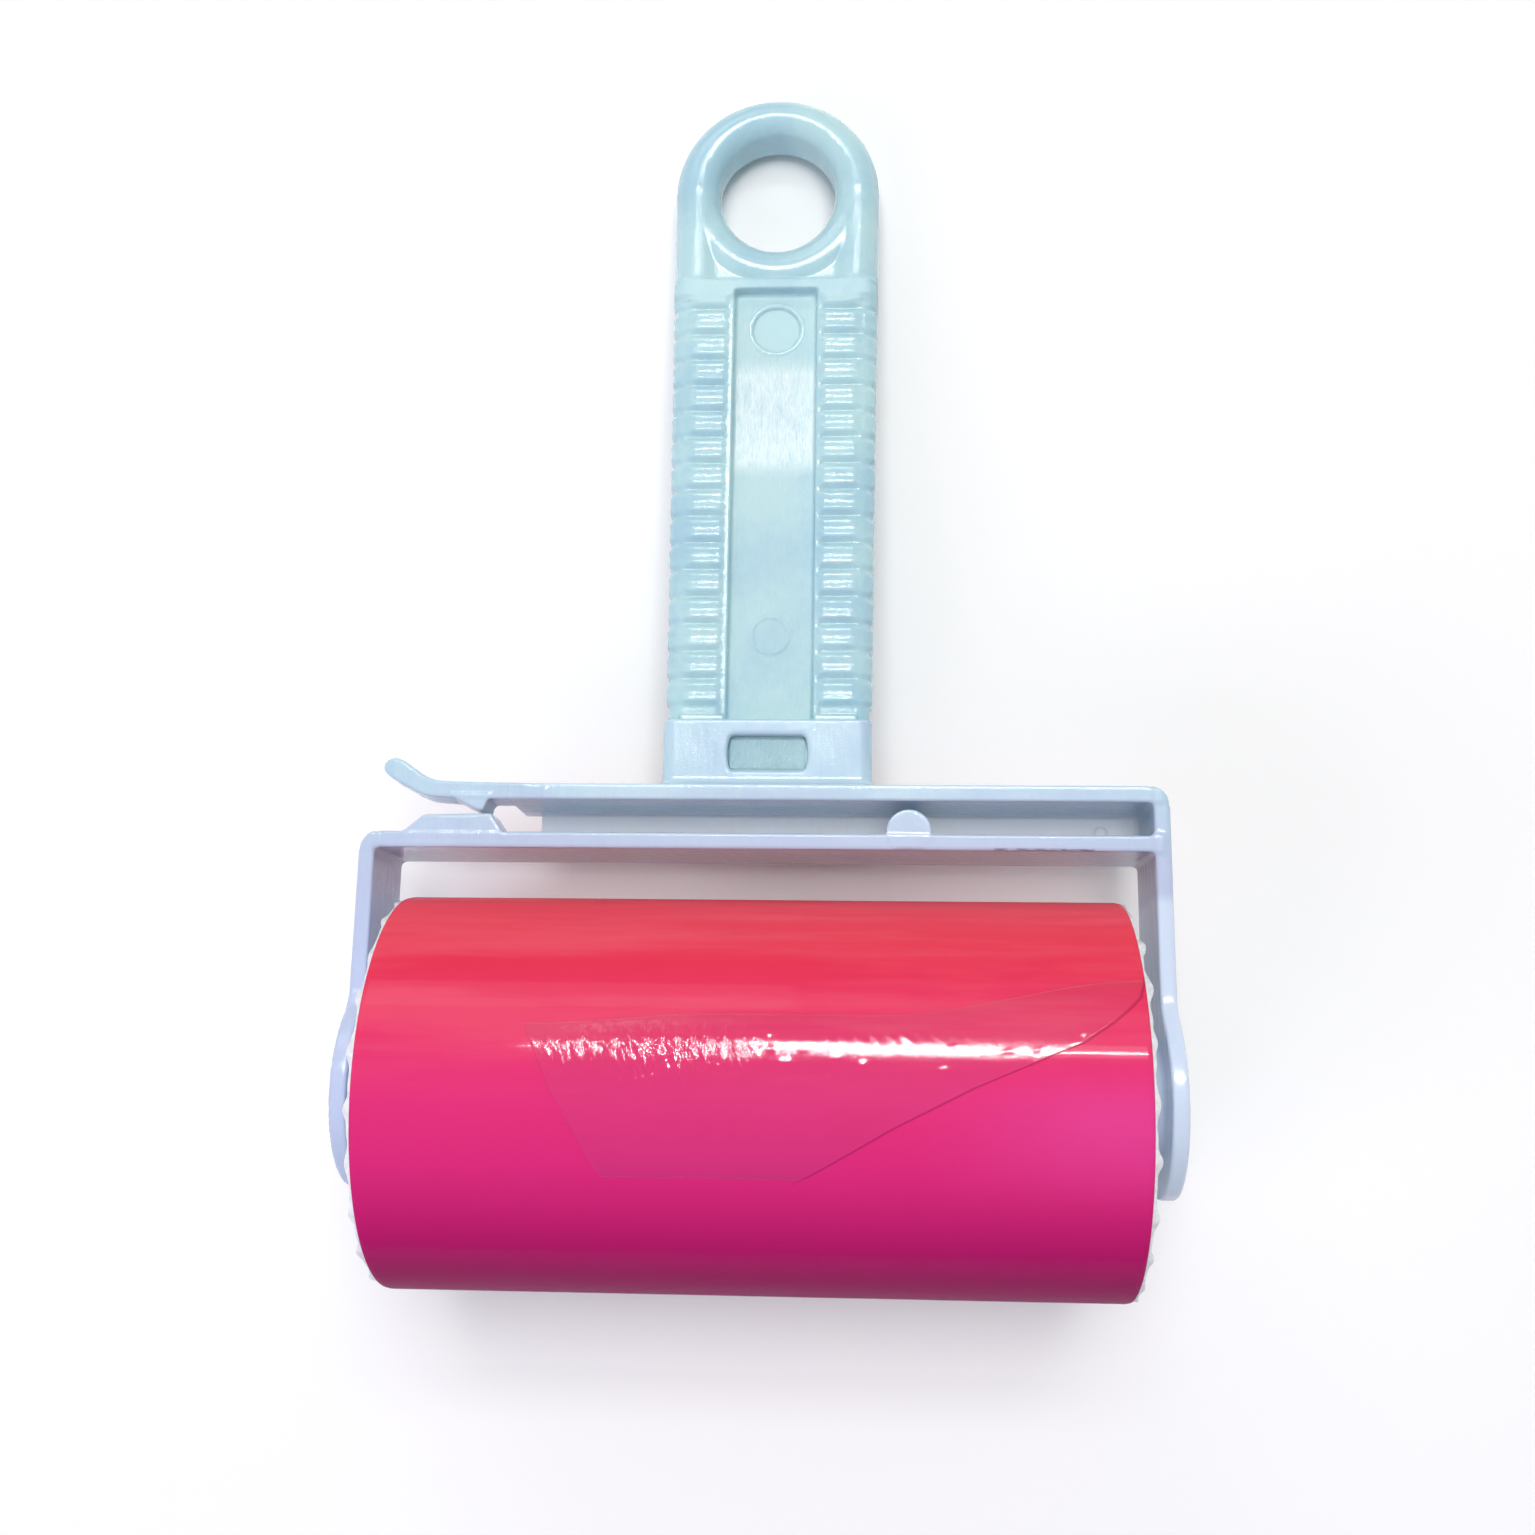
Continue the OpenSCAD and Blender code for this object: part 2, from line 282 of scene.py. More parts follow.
# ------------------------------------------------------------------ frame moulding: beam, collar, both arms, lever
HW, HD, ARM_T = 57.05, 7.5, 2.3
BT, BB, FT = 42.8, 33.5, 2.3
LT, TB = BB + FT, BT - FT
CX = 0.65
DISC = 13.6

LEVER = smooth_closed([(-30, TB), (-30, BT), (-45, BT + 0.2), (-46.7, BT + 0.4), (-48.1, BT + 1), (-49.6, BT + 2),
                       (-51.1, BT + 3.1), (-52.6, BT + 3.7), (-53.8, BT + 3.2), (-54.3, BT + 2.1), (-53.4, BT + 0.9),
                       (-51.1, BT - 0.4), (-49.2, BT - 1.4), (-47.2, BT - 2), (-44.0, TB + 0.15), (-42, TB)], 2)
HOOK = [(-44.4, TB + 0.8), (-43.4, TB - 0.1), (-40.4, LT + 3.1), (-39.5, LT + 3.1), (-38.9, TB - 0.1), (-38.5, TB + 0.8)]
BUMP = [(-51.3, LT - 0.8), (-50.9, LT), (-48, LT + 2.4), (-38.3, LT + 2.6), (-36.5, LT), (-36.0, LT - 0.8)]


WIN_V = BT + 4.8


def win_half(v):
    """Half width of the collar's window, whose short ends bow outwards."""
    return 5.3 + 0.42 * (1 - ((v - WIN_V) / 2.6) ** 2)


def frame_sdf(u, v, w):
    r = 0.32
    top = rbox(u, v, w, (-33.6, TB, -HD), (HW - 1, BT, HD), r)
    low = rbox(u, v, w, (-HW + 1.0, BB, -HD), (HW - 1, LT, HD), r)
    web = rbox(u, v, w, (-33.6, LT - 1, -HD), (HW - 1, TB + 1, -HD + 1.7), r)
    # arms: plate, round end, outer corner
    au = np.abs(u)
    arm_u = rbox2(v, w, (BT - DISC) / 2, 0, 60, HD, 0.01)
    disc = length(v, w) - DISC
    side_r = smin(np.maximum(np.abs(w) - HD, -v), disc, 2.5)
    side_r = np.maximum(side_r, v - BT)
    side_l = smin(np.maximum(np.abs(w) - HD, -v), disc, 2.5)
    side_l = np.maximum(side_l, v - LT)
    arm_r = extrude(side_r, u, HW - ARM_T, HW, 0.45)
    arm_l = extrude(side_l, u, -HW, -HW + ARM_T, 0.45)
    # join flanges, web and both arms with small fillets
    f = smin(top, low, 0.3)
    f = smin(f, web, 0.3)
    f = smin(f, arm_r, 0.9)
    f = smin(f, arm_l, 0.9)
    # round the outer corners
    cr = 2.8
    cornr = np.where((u > HW - cr) & (v > BT - cr), length(u - (HW - cr), v - (BT - cr)) - cr, -5)
    f = smax(f, cornr, 0.4)
    cornl = np.where((u < -HW + cr) & (v > LT - cr) & (v < 39), length(u + (HW - cr), v - (LT - cr)) - cr, -5)
    f = smax(f, cornl, 0.4)
    # pivots
    ax = length(v, w)
    cone = np.maximum((ax - (8.5 - 0.7 * (HW - ARM_T - au))) * 0.82, HW - ARM_T - 8.8 - au)
    cone = np.maximum(cone, au - (HW - 0.6))
    f = smin(f, cone, 0.8)
    # round post in the channel
    post = length(u - 20.8, v - 36.1) - 3.2
    post = extrude(post, w, -HD + 0.3, HD - 0.05, 0.25)
    post = np.maximum(post, BB + 0.3 - v)
    f = smin(f, post, 0.35)
    # shallow dimple pad on the web's right end
    pip = length(u - 49.3, v - 38.2) - 0.9
    f = smin(f, extrude(pip, w, -HD + 0.5, -HD + 2.2, 0.3), 0.4)
    # the top flange keeps its full depth a little past the web, then the lever, hook and wedge
    f = smin(f, rbox(u, v, w, (-36.3, TB, -HD), (-33.0, BT, HD), 0.3), 0.05)
    lev = extrude(poly2(u, v, LEVER), w, 1.3, HD, 0.3)
    hook = extrude(poly2(u, v, HOOK), w, 1.3, HD, 0.2)
    f = smin(f, smin(lev, hook, 0.3), 0.12)
    bump = extrude(poly2(u, v, BUMP), w, 1.0, HD, 0.3)
    f = smin(f, bump, 0.25)
    # collar with its socket and window
    col = rbox2(u, w, CX, 0, 15.0, 6.5, 1.9)
    col = extrude(col, v, BT - 1.5, BT + 9.7, 0.4)
    f = smin(f, col, 1.3)
    sock = rbox(u, v, w, (CX - 13.0, BT + 0.9, -4.5), (CX + 13.0, BT + 20, 4.5), 0.4)
    f = smax(f, -sock, 0.3)
    win = smax(np.abs(u - (CX + 0.1)) - win_half(v), np.abs(v - WIN_V) - 2.6, 0.7)
    win = np.maximum(win, 1.0 - w)
    f = smax(f, -win, 0.55)
    return f


HG = 0.4
P, Q, N = surface(frame_sdf, (-58.3, -14.9, -14.7), (58.3, 55.3, 14.7), HG)
cen = P[Q].mean(1)
lab = np.zeros(len(Q), int)
lab[(cen[:, 0] < -34.0) & (cen[:, 1] < 38.66)] = 1
lab[(cen[:, 0] < -34.0) & (cen[:, 1] >= 38.66)] = 2
parts = split_mesh(P, Q, N, lab)
frame_body = mesh_object("frame_moulding", *parts[0])
left_arm = mesh_object("left_arm_moulding", *parts[1])
lever = mesh_object("thumb_lever", *parts[2])

# ------------------------------------------------------------------ handle moulding
RX = CX + 0.15
COLLAR_TOP = BT + 9.7
CH_TOP = COLLAR_TOP + 68.1
PITCH, GROOVE0, GROOVES = 4.17, COLLAR_TOP + 2.5, 17
TOP_GROOVE = GROOVE0 + (GROOVES - 1) * PITCH


def grip_t01(v):
    return np.clip((v - COLLAR_TOP) / (RING_V - COLLAR_TOP), 0, 1)


def groove_depth(v):
    """How deep the outline sinks between the finger ribs: narrow grooves, ribs with full shoulders and a slack middle."""
    s = (v - GROOVE0) / PITCH
    g = np.abs(s - np.round(s)) * PITCH
    d = 0.70 * (1 - smoothstep(g, 0.0, 0.98)) + 0.13 * smoothstep(g, 1.05, 2.05)
    top = 0.70 * (1 - smoothstep(np.abs(v - TOP_GROOVE), 0, 0.98))
    d = np.where(v > TOP_GROOVE, top, d)
    return np.where(v < GROOVE0, 0.70, d)


def handle_sdf(u, v, w):
    t = grip_t01(v)
    m, hwid = CX + (RX - CX) * t, 15.05 + 0.8 * t
    au, aw = np.abs(u - m), np.abs(w)
    low = smoothstep(RING_V - v, 0.0, 3.0)
    rr = length(u - RX, (v - RING_V) * (1 - 0.10 * low))
    hole = length(u - RX, (v - RING_V) * (1 - 0.11 * low - 0.045 * smoothstep(v - RING_V, 0.0, 4.0)))
    gs = groove_depth(v)
    gd = gs * (1 - smoothstep(v, 119.0, 119.8))
    half_t = GRIP_T / 2 - 0.02
    # ribbed body: raised pads between the channel's border strip and the rounded sides
    pad = smoothstep(au, 6.7, 7.9) * (1 - smoothstep(au, 11.4, 13.7))
    flush = smoothstep(v, 118.9, 120.0)
    ht = half_t - (0.40 * (1 - pad) + 0.30 * smoothstep(au, 12.0, 14.8)) * (1 - flush) - gd * (0.25 + 0.75 * pad) * smoothstep(au, 6.6, 7.5)
    rnd = 2.0
    side = au - (hwid - 0.5 * gs)
    a, b = side + rnd, aw - (ht - rnd)
    body = length(np.maximum(a, 0), np.maximum(b, 0)) + np.minimum(np.maximum(a, b), 0) - rnd
    body = smax(body, v - 122.6, 0.7)
    body = np.maximum(body, COLLAR_TOP + 0.12 - v)
    # ring of rounded section with two rails that run down its sides
    flat = 4.3 - RING_HALF
    flat_low = flat - 0.30 * low
    ring = length(rr - RING_MID, np.maximum(aw - flat_low, 0)) - RING_HALF
    rail = length(au - (hwid - RING_HALF), np.maximum(aw - flat, 0)) - RING_HALF
    rail = np.maximum(rail, np.maximum(v - RING_V, 119.0 - v))
    # thinner plate between the rails, rounded off at the hole like the ring
    d = np.clip(rr - RING_HOLE / 2, 0, RING_HALF)
    lip = flat_low + np.sqrt(np.maximum(RING_HALF ** 2 - (RING_HALF - d) ** 2, 0))
    slack = 3.58 - 0.25 * smoothstep(rr - RING_HOLE / 2, 1.5, 5.0)
    plate = np.maximum(np.maximum(au - (hwid - RING_HALF), aw - np.minimum(lip, slack) + 2.6 * smoothstep(v, RING_V - 7.0, RING_V - 0.5)), np.maximum(v - RING_V, 120.0 - v))
    f = smin(ring, smin(rail, plate, 1.0), 0.25)
    f = smin(f, body, 0.5)
    f = smax(f, RING_HOLE / 2 - hole, 0.3)
    # plug inside the collar
    plug = rbox(u, v, w, (CX - 12.9, 43.8, -4.38), (CX + 12.9, COLLAR_TOP + 1.2, 4.38), 0.35)
    f = smin(f, plug, 0.2)
    # channel with sloping walls and two moulding marks on its floor
    auc = np.abs(u - (m + 0.12))
    ch = smax(auc - 6.02 - 0.22 * np.clip(aw - 2.4, 0, 2), np.maximum(COLLAR_TOP + 0.1 - v, v - CH_TOP - 0.1 * np.clip(aw - 2.4, 0, 2)), 0.7)
    floor = 2.5
    disc = length(u - 1.0, v - 114.7)
    floor = floor - 0.42 * (1 - smoothstep(disc, 3.45, 3.75)) + 0.20 * np.exp(-((disc - 4.05) / 0.32) ** 2)
    pip = length(u - 0.66, v - 66.1)
    floor = floor + 0.26 * np.exp(-((pip - 2.75) / 0.3) ** 2)
    ch = smax(ch, floor - aw, 0.35)
    f = smax(f, -ch, 0.3)
    # pocket of the snap tongue
    pocket = rbox(u, v, w, (CX - 6.4, BT + 1.6, 0.9), (CX + 6.4, BT + 8.6, 9), 0.3)
    f = smax(f, -pocket, 0.3)
    return f


HH = 0.33
P, Q, N = surface(handle_sdf, (-16.2, 43.0, -5.1), (17.8, 155.3, 5.1), HH)
handle = mesh_object("handle_moulding", P, Q, N)


def tongue_sdf(u, v, w):
    plate = rbox(u, v, w, (CX - 6.1, BT + 1.9, 2.4), (CX + 6.1, BT + 8.3, 4.3), 0.35)
    face = 5.62 - 0.13 * (v - (WIN_V - 2.6))
    c = smax(np.abs(u - (CX + 0.1)) - win_half(v) - 0.05, np.abs(v - WIN_V) - 2.65, 0.7)
    c = smax(c, np.maximum(w - face, 4.0 - w), 0.25)
    return smin(plate, c, 0.3)


P, Q, N = surface(tongue_sdf, (CX - 7.2, 44.0, 1.6), (CX + 7.2, 52.0, 6.4), 0.22)
tongue = mesh_object("snap_tongue_moulding", P, Q, N)

# ------------------------------------------------------------------ roll


def cyl(u, a, r):
    """Point on the roll: a in radians from the front towards the handle."""
    return np.stack(np.broadcast_arrays(u, r * np.sin(a), r * np.cos(a)), -1)


def waves(x, y, seed, octaves=4, base=1.0):
    """Smooth repeatable noise, periodic in y over 2 pi."""
    g = np.random.default_rng(seed)
    out = 0
    for o in range(octaves):
        for _ in range(5):
            kx = g.normal() * base * (1.8 ** o)
            ky = g.integers(-3 * (o + 1), 3 * (o + 1) + 1)
            out = out + np.sin(kx * x + ky * y + g.uniform(0, 6.28)) / (1.7 ** o)
    return out / 5.0


def seam_u(a):
    """Where the cut across the wrap lies, by angle in degrees."""
    ang = np.array([-24.0, -22.7, -9.2, 1.8, 11.2, 13.9, 19.6, 23.9, 27.0, 32.1, 36.0])
    uu = np.array([5.6, 7.2, 17.9, 28.2, 38.7, 41.7, 45.6, 47.9, 49.2, 49.9, 50.4])
    return np.interp(a, ang, uu)


def seam_attribute(ob, dist):
    """Signed distance across the slanting cut, kept on the mesh for the material."""
    at = ob.data.attributes.new("seam", "FLOAT", "POINT")
    at.data.foreach_set("value", dist.astype(np.float32))


def wrap_surface():
    na, nu = ((400, 120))
    a = np.linspace(-np.pi, np.pi, na, endpoint=False)
    ends = np.array([49.3, 49.55, 49.8, 50.0])
    u = np.concatenate([-ends[::-1], np.linspace(-48.9, 48.9, nu - 8), ends])
    A, U = np.meshgrid(a, u, indexing="ij")
    deg = np.degrees(A)
    r = ROLL_R - 0.035 + 0.016 * waves(U * 0.05, A, 3) + 0.008 * waves(U * 0.2, A, 5)
    # fine steps along the roll that the wound sheets print through
    r = r + 0.010 * np.sin(3 * A + 0.4) + 0.006 * np.sin(7 * A + U * 0.01)
    # end of the sheet shows as a shallow step
    r = r - 0.03 * np.exp(-((deg - 58) / 1.2) ** 2)
    # ends turn in slightly
    r = r - 0.10 * (smoothstep(np.abs(U), 49.3, 50.0)) ** 2
    out = cyl(U, A, r)
    inn = cyl(U, A, np.full_like(r, ROLL_R - 0.3))
    nP = na * nu
    Pv = np.concatenate([out.reshape(-1, 3), inn.reshape(-1, 3)])
    i, j = np.meshgrid(np.arange(na), np.arange(nu - 1), indexing="ij")
    i2 = (i + 1) % na
    q1 = np.stack([i * nu + j, i * nu + j + 1, i2 * nu + j + 1, i2 * nu + j], -1).reshape(-1, 4)
    q2 = q1[:, ::-1] + nP
    ii = np.arange(na)
    ii2 = (ii + 1) % na
    e0 = np.stack([ii * nu, ii2 * nu, ii2 * nu + nP, ii * nu + nP], -1)
    e1 = np.stack([ii * nu + nu - 1, ii * nu + nu - 1 + nP, ii2 * nu + nu - 1 + nP, ii2 * nu + nu - 1], -1)
    ob = mesh_object("outer_wrap", Pv, np.concatenate([q1, q2, e0, e1]))
    seam_attribute(ob, np.concatenate([(U - seam_u(deg)).ravel()] * 2))
    return ob


wrap = wrap_surface()


def film_surface():
    """Clear holding film over the end of the sheet: a thin crinkled patch with a slanted left edge and a long slanted cut."""
    ns, nt = ((230, 120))
    s = np.linspace(0, 1, ns)
    t = np.linspace(0, 1, nt)
    T, Sx = np.meshgrid(t, s, indexing="ij")
    lo = -23.0
    hi = 17.5 + 3.5 * smoothstep(Sx, 0.0, 0.35) + 11.5 * smoothstep(Sx, 0.62, 1.0)
    deg = lo + (hi - lo) * T
    left = np.interp(deg, [-23.1, -17.9, 0.2, 17.5, 22], [-18.2, -19.9, -24.9, -28.8, -29.6])
    right = seam_u(deg) - 0.25
    U = left + (right - left) * Sx
    A = np.radians(deg)
    edge = np.minimum(np.minimum(Sx * 76, (1 - Sx) * 60), np.minimum(T * 19, (1 - T) * 19))
    lift = 0.0
    # crinkles: short slanted ridges near the left part and faint ones along the top
    x, y = U, ROLL_R * A
    zone = np.exp(-(((U + 17) / 9.0) ** 2) - ((deg - 9.5) / 6.0) ** 2)
    zone2 = np.exp(-(((U + 6) / 8.0) ** 2) - ((deg - 8) / 5.0) ** 2)
    zone3 = np.exp(-(((U - 21) / 9.0) ** 2) - ((deg - 15.5) / 3.0) ** 2) + np.exp(-(((U - 46) / 4.0) ** 2) - ((deg - 15.5) / 3.0) ** 2)
    g = np.random.default_rng(5)
    ph = x * 0.94 + y * 0.42
    cr = np.sin(ph * 3.3 + 1.3 * np.sin(y * 0.9)) * 0.6 + np.sin(ph * 5.1 + 1.1 * np.sin(x * 0.7 + y)) * 0.4
    lift = lift + 0.065 * cr * (zone + 0.9 * zone2 + 0.8 * zone3)
    lift = lift + 0.10 * zone + 0.03 * np.exp(-((deg - 13.5) / 2.0) ** 2) * smoothstep(U, -28, -20) * (1 - smoothstep(U, 5, 20))
    # a long soft fold from the left edge to the middle
    fold = deg - (-3.0 + 0.42 * (U + 27))
    lift = lift + 0.07 * np.exp(-(fold / 0.9) ** 2) * smoothstep(U, -26, -22) * (1 - smoothstep(U, -16, -6))
    # small trapped bubbles
    for _ in range(46):
        bu, bd = g.uniform(-25, 46), g.uniform(-12, 17)
        br, bh = g.uniform(0.25, 0.7), g.uniform(0.02, 0.06)
        lift = lift + bh * np.exp(-(((U - bu) / br) ** 2) - (((deg - bd) * 0.473) / (br * g.uniform(0.5, 1.2))) ** 2)
    r0 = ROLL_R + 0.015 + np.clip(lift, 0, 0.25) * smoothstep(edge, 0, 1.0)
    # the lower and upper edges are pressed down flat, the slanted left end and the cut keep their thickness
    thick = 0.012 + 0.045 * smoothstep(T, 0.0, 0.12) * (1 - smoothstep(T, 0.86, 1.0))
    r0 = r0 - 0.012 * smoothstep(T, 0.86, 1.0) - 0.05 * (1 - smoothstep(T, 0.0, 0.12))
    outp = cyl(U, A, r0 + thick)
    innp = cyl(U, A, r0)
    n = nt * ns
    Pv = np.concatenate([outp.reshape(-1, 3), innp.reshape(-1, 3)])
    i, j = np.meshgrid(np.arange(nt - 1), np.arange(ns - 1), indexing="ij")
    q1 = np.stack([i * ns + j, i * ns + j + 1, (i + 1) * ns + j + 1, (i + 1) * ns + j], -1).reshape(-1, 4)
    q2 = q1[:, ::-1] + n
    rim = []
    loop = list(range(0, ns)) + [k * ns + ns - 1 for k in range(1, nt)] + [(nt - 1) * ns + k for k in range(ns - 2, -1, -1)] + [k * ns for k in range(nt - 2, 0, -1)]
    loop = np.array(loop)
    nx = np.roll(loop, -1)
    rim = np.stack([loop, loop + n, nx + n, nx], -1)
    ob = mesh_object("peel_film_patch", Pv, np.concatenate([q1, q2, rim]))
    seam_attribute(ob, np.concatenate([(U - seam_u(deg)).ravel()] * 2))
    return ob


film = film_surface()


def paper_stack():
    """Wound paper with wavy edges standing proud at both ends; the end faces show the turns."""
    na = 720
    rad = np.concatenate([np.linspace(20.62, 25.2, 34), np.linspace(25.35, 26.78, 16)])
    a = np.linspace(-np.pi, np.pi, na, endpoint=False)
    A, Rr = np.meshgrid(a, rad, indexing="ij")
    nr = len(rad)
    pts, quads = [], []
    base = 0
    for s, seed in ((-1, 7), (1, 9)):
        g = np.random.default_rng(seed)
        pitch = 2 * np.pi / 23
        off = g.uniform(0, pitch)
        if s > 0:
            off = math.radians(-1.1)
        ph = (A - off) / pitch
        k = np.round(ph)
        jit = np.sin(k * 12.9898 + seed) * 0.05
        amp = 0.75 + 0.25 * np.sin(k * 4.7 + seed * 2.0)
        d = (ph - k + jit)
        scal = np.exp(-(d / 0.17) ** 2) * amp
        outer = smoothstep(Rr, 25.3, 26.1)
        turns = 0.05 * np.sin((Rr * 2 * np.pi / 0.42) + A) + 0.04 * waves(Rr, A, seed, 3, 2.0)
        x = 49.72 + turns + outer * (0.62 + 0.72 * scal + 0.06 * np.sin(A * 31 + seed) + 0.04 * np.sin(A * 57 + 2 * seed))
        x = np.minimum(x, 51.0)
        pts.append(cyl(s * x, A, Rr).reshape(-1, 3))
        i, j = np.meshgrid(np.arange(na), np.arange(nr - 1), indexing="ij")
        i2 = (i + 1) % na
        q = np.stack([i * nr + j, i * nr + j + 1, i2 * nr + j + 1, i2 * nr + j], -1).reshape(-1, 4) + base
        quads.append(q if s < 0 else q[:, ::-1])
        base += na * nr
    n1 = na * nr
    ii = np.arange(na)
    ii2 = (ii + 1) % na
    for j, flip in ((nr - 1, False), (0, True)):
        q = np.stack([ii * nr + j, n1 + ii * nr + j, n1 + ii2 * nr + j, ii2 * nr + j], -1)
        quads.append(q[:, ::-1] if flip else q)
    return mesh_object("paper_stack", np.concatenate(pts), np.concatenate(quads))


paper = paper_stack()


def lathe(name, profile, s, seg=160, spokes=None):
    """Solid of revolution about the roll's axis; profile is (distance from the middle, radius), s picks the side."""
    prof = np.asarray(profile, float)
    a = np.linspace(-np.pi, np.pi, seg, endpoint=False)
    A, X = np.meshgrid(a, prof[:, 0], indexing="ij")
    _, R = np.meshgrid(a, prof[:, 1], indexing="ij")
    pts = cyl(s * X, A, R)
    n = len(prof)
    i, j = np.meshgrid(np.arange(seg), np.arange(n), indexing="ij")
    i2, j2 = (i + 1) % seg, (j + 1) % n
    q = np.stack([i * n + j, i * n + j2, i2 * n + j2, i2 * n + j], -1).reshape(-1, 4)
    if s > 0:
        q = q[:, ::-1]
    return mesh_object(name, pts.reshape(-1, 3), q)


def arc(cx_, cr_, r, a0, a1, n=6):
    t = np.radians(np.linspace(a0, a1, n))
    return [(cx_ + r * math.cos(x), cr_ + r * math.sin(x)) for x in t]


def plug_profile():
    """Section of an end plug: socket, face with a rim and a shallow dish, skirt inside the core."""
    p = [(45.75, 1.0), (45.75, 2.35)]
    p += [(50.6, 2.35 + 0.7 * 4.85 - 0.03)]
    p += [(50.85, 6.05), (50.93, 6.35)]
    p += [(50.95, 8.2), (50.85, 8.5), (50.3, 8.75), (50.12, 9.1)]
    p += [(50.12, 15.8), (50.22, 16.2), (50.75, 16.45), (50.95, 16.8)]
    p += arc(50.55, 19.95, 0.4, 0, 90, 5)
    p += [(50.03, 20.35), (50.02, 19.15), (49.9, 19.02), (38.3, 19.02), (38.0, 18.7), (38.0, 17.6), (38.2, 17.4)]
    p += [(47.6, 17.4), (48.1, 16.9), (48.2, 9.4), (47.8, 8.8), (43.8, 8.6), (43.4, 8.2), (43.4, 1.0)]
    return p


plug_l = lathe("end_plug_left_part", plug_profile(), -1)
plug_r = lathe("end_plug_right_part", plug_profile(), 1)

# ------------------------------------------------------------------ materials


def new_mat(name):
    m = bpy.data.materials.new(name)
    m.use_nodes = True
    nt = m.node_tree
    nt.nodes.clear()
    out = nt.nodes.new("ShaderNodeOutputMaterial")
    b = nt.nodes.new("ShaderNodeBsdfPrincipled")
    nt.links.new(b.outputs[0], out.inputs[0])
    return m, nt, b


def node(nt, kind, **kw):
    n = nt.nodes.new(kind)
    for k, v in kw.items():
        if k.startswith("in_"):
            key = k[3:]
            key = int(key) if key.isdigit() else key.replace("_", " ")
            n.inputs[key].default_value = v
        else:
            setattr(n, k, v)
    return n


def link(nt, a, b):
    nt.links.new(a, b)


def math_node(nt, op, a, b=None, c=None):
    n = nt.nodes.new("ShaderNodeMath")
    n.operation = op
    for i, x in enumerate((a, b, c)):
        if x is None:
            continue
        if isinstance(x, (int, float)):
            n.inputs[i].default_value = x
        else:
            nt.links.new(x, n.inputs[i])
    return n.outputs[0]


def ramp(nt, fac, stops, interp="LINEAR"):
    n = nt.nodes.new("ShaderNodeValToRGB")
    n.color_ramp.interpolation = interp
    el = n.color_ramp.elements
    while len(el) < len(stops):
        el.new(0.5)
    for e, (p, c) in zip(el, stops):
        e.position = p
        e.color = (*c, 1) if len(c) == 3 else c
    nt.links.new(fac, n.inputs[0])
    return n.outputs[0]


def srgb(r, g, b):
    return tuple(((c / 255 + 0.055) / 1.055) ** 2.4 if c > 10 else c / 255 / 12.92 for c in (r, g, b))


def plane_coords(nt):
    a = node(nt, "ShaderNodeAttribute", attribute_name="pl")
    s = nt.nodes.new("ShaderNodeSeparateXYZ")
    nt.links.new(a.outputs["Vector"], s.inputs[0])
    return a.outputs["Vector"], s.outputs[0], s.outputs[1], s.outputs[2]


def noise(nt, vec, scale, detail=3.0, rough=0.5, dist=0.0):
    n = node(nt, "ShaderNodeTexNoise", in_Scale=scale, in_Detail=detail, in_Roughness=rough, in_Distortion=dist)
    nt.links.new(vec, n.inputs["Vector"])
    return n.outputs[0]


def scaled(nt, vec, s, rot=(0, 0, 0)):
    m = nt.nodes.new("ShaderNodeMapping")
    m.inputs["Scale"].default_value = s
    m.inputs["Rotation"].default_value = rot
    nt.links.new(vec, m.inputs["Vector"])
    return m.outputs[0]


def mix_col(nt, fac, a, b, kind="MIX"):
    n = nt.nodes.new("ShaderNodeMix")
    n.data_type = "RGBA"
    n.blend_type = kind
    for k, x in ((0, fac), (6, a), (7, b)):
        if isinstance(x, (int, float)):
            n.inputs[k].default_value = x
        elif isinstance(x, tuple):
            n.inputs[k].default_value = (*x, 1)
        else:
            nt.links.new(x, n.inputs[k])
    return n.outputs[2]


def bump(nt, height, strength, dist, normal=None):
    n = nt.nodes.new("ShaderNodeBump")
    n.inputs["Strength"].default_value = strength
    n.inputs["Distance"].default_value = dist
    nt.links.new(height, n.inputs["Height"])
    if normal is not None:
        nt.links.new(normal, n.inputs["Normal"])
    return n.outputs[0]


def box_mask(nt, coords, lo, hi, soft=0.4):
    """1 inside a box of the object's plane, softly 0 outside; None leaves a side open."""
    out = None
    for c, a, b in zip(coords, lo, hi):
        for x, sgn in ((a, 1), (b, -1)):
            if x is None:
                continue
            n = nt.nodes.new("ShaderNodeMapRange")
            n.interpolation_type = "SMOOTHSTEP"
            n.inputs[1].default_value = x - sgn * soft / 2
            n.inputs[2].default_value = x + sgn * soft / 2
            nt.links.new(c, n.inputs[0])
            out = n.outputs[0] if out is None else math_node(nt, "MULTIPLY", out, n.outputs[0])
    return out


